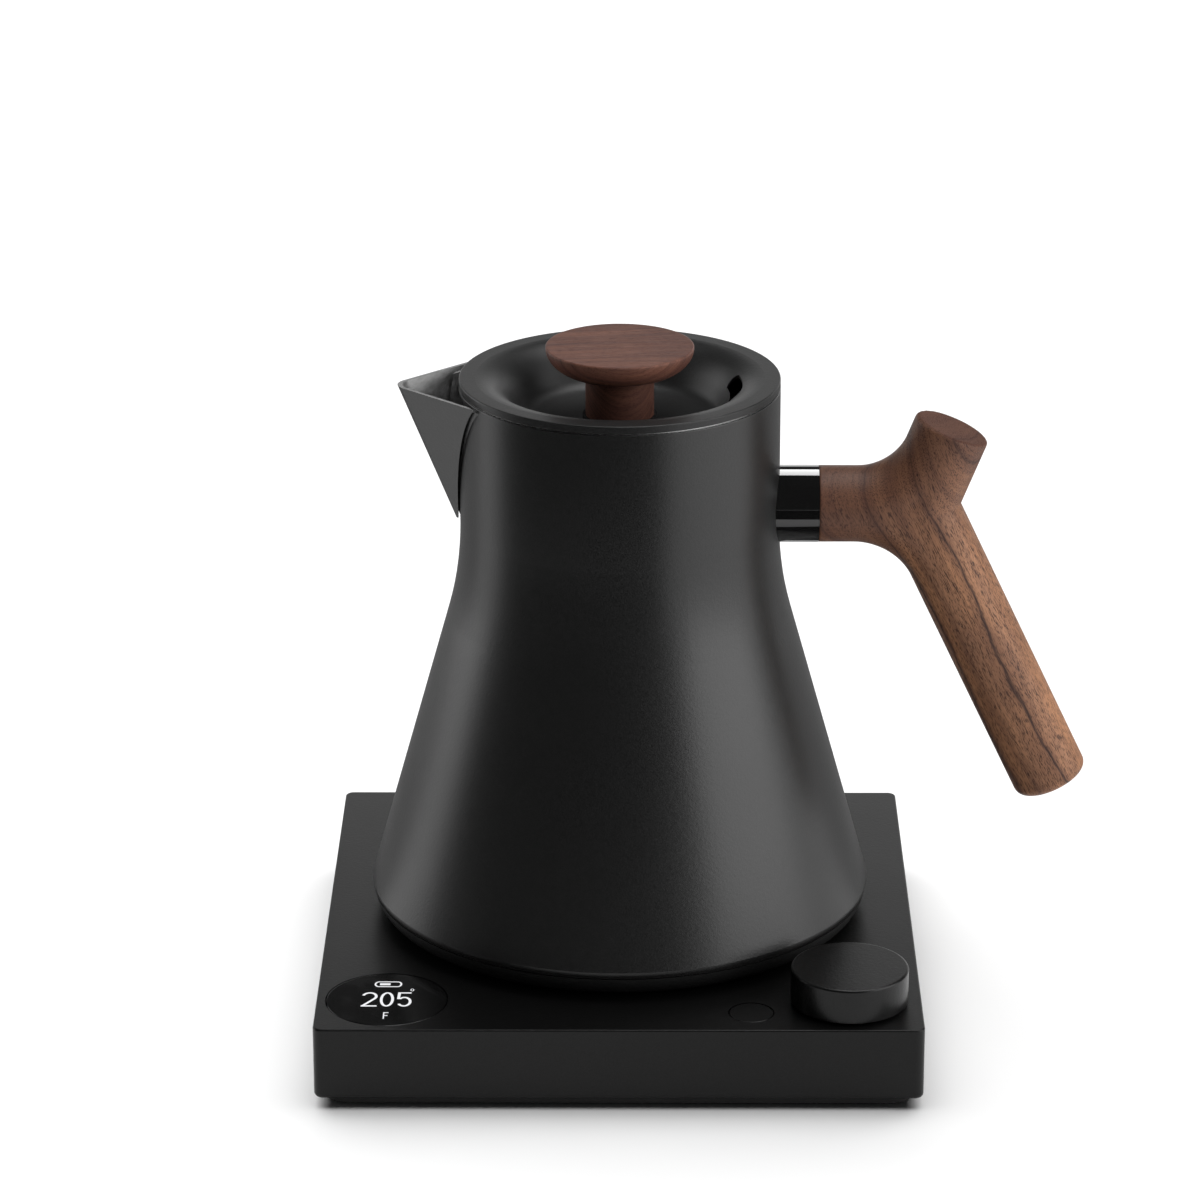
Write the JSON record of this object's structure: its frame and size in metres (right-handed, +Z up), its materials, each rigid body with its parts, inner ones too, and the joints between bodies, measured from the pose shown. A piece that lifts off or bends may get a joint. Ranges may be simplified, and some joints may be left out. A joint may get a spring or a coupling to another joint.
{
  "type": "electric kettle",
  "caption": "Matte black electric kettle with an open V spout, walnut handle and lid knob, on a square power base with display, dial and button.",
  "frame": {"origin": "centre of the base's footprint, on the worktop", "axes": "+Z up, +X from the kettle towards its handle, +Y away from the side with the controls"},
  "size_m": [0.2227, 0.1724, 0.197],
  "materials": {
    "matte_black_steel": "fine matte powder coat",
    "base_coat": "fine matte powder coat",
    "black_plastic": "moulded, fine texture",
    "gloss_black": "polished",
    "walnut": "oiled walnut, grain along the branch",
    "display_glass": "black glass",
    "display_unit": "display module",
    "bare_steel": "drawn steel",
    "aluminium_plate": "rolled plate",
    "brass": "turned brass",
    "black_rubber": "moulded rubber",
    "circuit_board": "green laminate",
    "component_case": "moulded component cases"
  },
  "bodies": {
    "base": {"base_case": "base_coat", "cord_bush": "black_rubber", "base_bottom_cover": "black_plastic", "base_foot_ring": "black_rubber", "base_screws": "bare_steel", "display_window": "display_glass", "display_holder": "black_plastic", "display_module": "display_unit", "control_board": "circuit_board", "board_screws": "bare_steel", "power_board": "circuit_board", "power_relay": "component_case", "power_transformer": "component_case", "power_capacitor": "component_case", "mains_terminals": "component_case", "encoder_body": "bare_steel", "encoder_nut": "bare_steel", "encoder_spring": "bare_steel", "tact_switch": "component_case", "switch_dome": "bare_steel", "power_hub": "black_plastic", "hub_contacts": "brass"},
    "kettle": {"kettle_body": "matte_black_steel", "pour_spout": "matte_black_steel", "kettle_floor": "bare_steel", "heat_spreader": "aluminium_plate", "heating_element": "bare_steel", "thermal_cutout": "bare_steel", "temperature_probe": "bare_steel", "probe_seal": "black_rubber", "cover_posts": "bare_steel", "cover_screws": "bare_steel", "kettle_bottom_cover": "black_plastic", "kettle_socket": "black_plastic", "socket_contacts": "brass", "handle": "walnut", "handle_collar": "gloss_black", "handle_stud": "bare_steel", "handle_insert": "brass"},
    "lid": {"lid_top": "matte_black_steel", "lid_plug": "bare_steel", "lid_seal": "black_rubber", "lid_knob": "walnut", "knob_washer": "black_rubber", "knob_screw": "bare_steel"},
    "dial_plunger": {"encoder_plunger": "component_case"},
    "dial": {"encoder_shaft": "bare_steel", "control_dial": "base_coat"},
    "button": {"button_cap": "base_coat", "switch_plunger": "component_case"}
  },
  "joints": [
    {"name": "kettle_lift", "type": "slide", "parent": "base", "child": "kettle", "axis": [0, 0, 1], "range_m": [0, 0.15]},
    {"name": "lid_lift", "type": "slide", "parent": "kettle", "child": "lid", "axis": [0, 0, 1], "range_m": [0, 0.06]},
    {"name": "dial_push", "type": "slide", "parent": "base", "child": "dial_plunger", "axis": [0, 0, -1], "range_m": [0, 0.0006], "stiffness_N_per_m": 1500, "springref_m": -0.0008, "deforming": ["encoder_spring"]},
    {"name": "dial_turn", "type": "hinge", "parent": "dial_plunger", "child": "dial", "pos_m": [0.0654, -0.0669, 0.03], "axis": [0, 0, 1], "continuous": true},
    {"name": "button_push", "type": "slide", "parent": "base", "child": "button", "axis": [0, 0, -1], "range_m": [0, 0.0005], "stiffness_N_per_m": 900, "springref_m": -0.0008, "deforming": ["switch_dome"]}
  ]
}
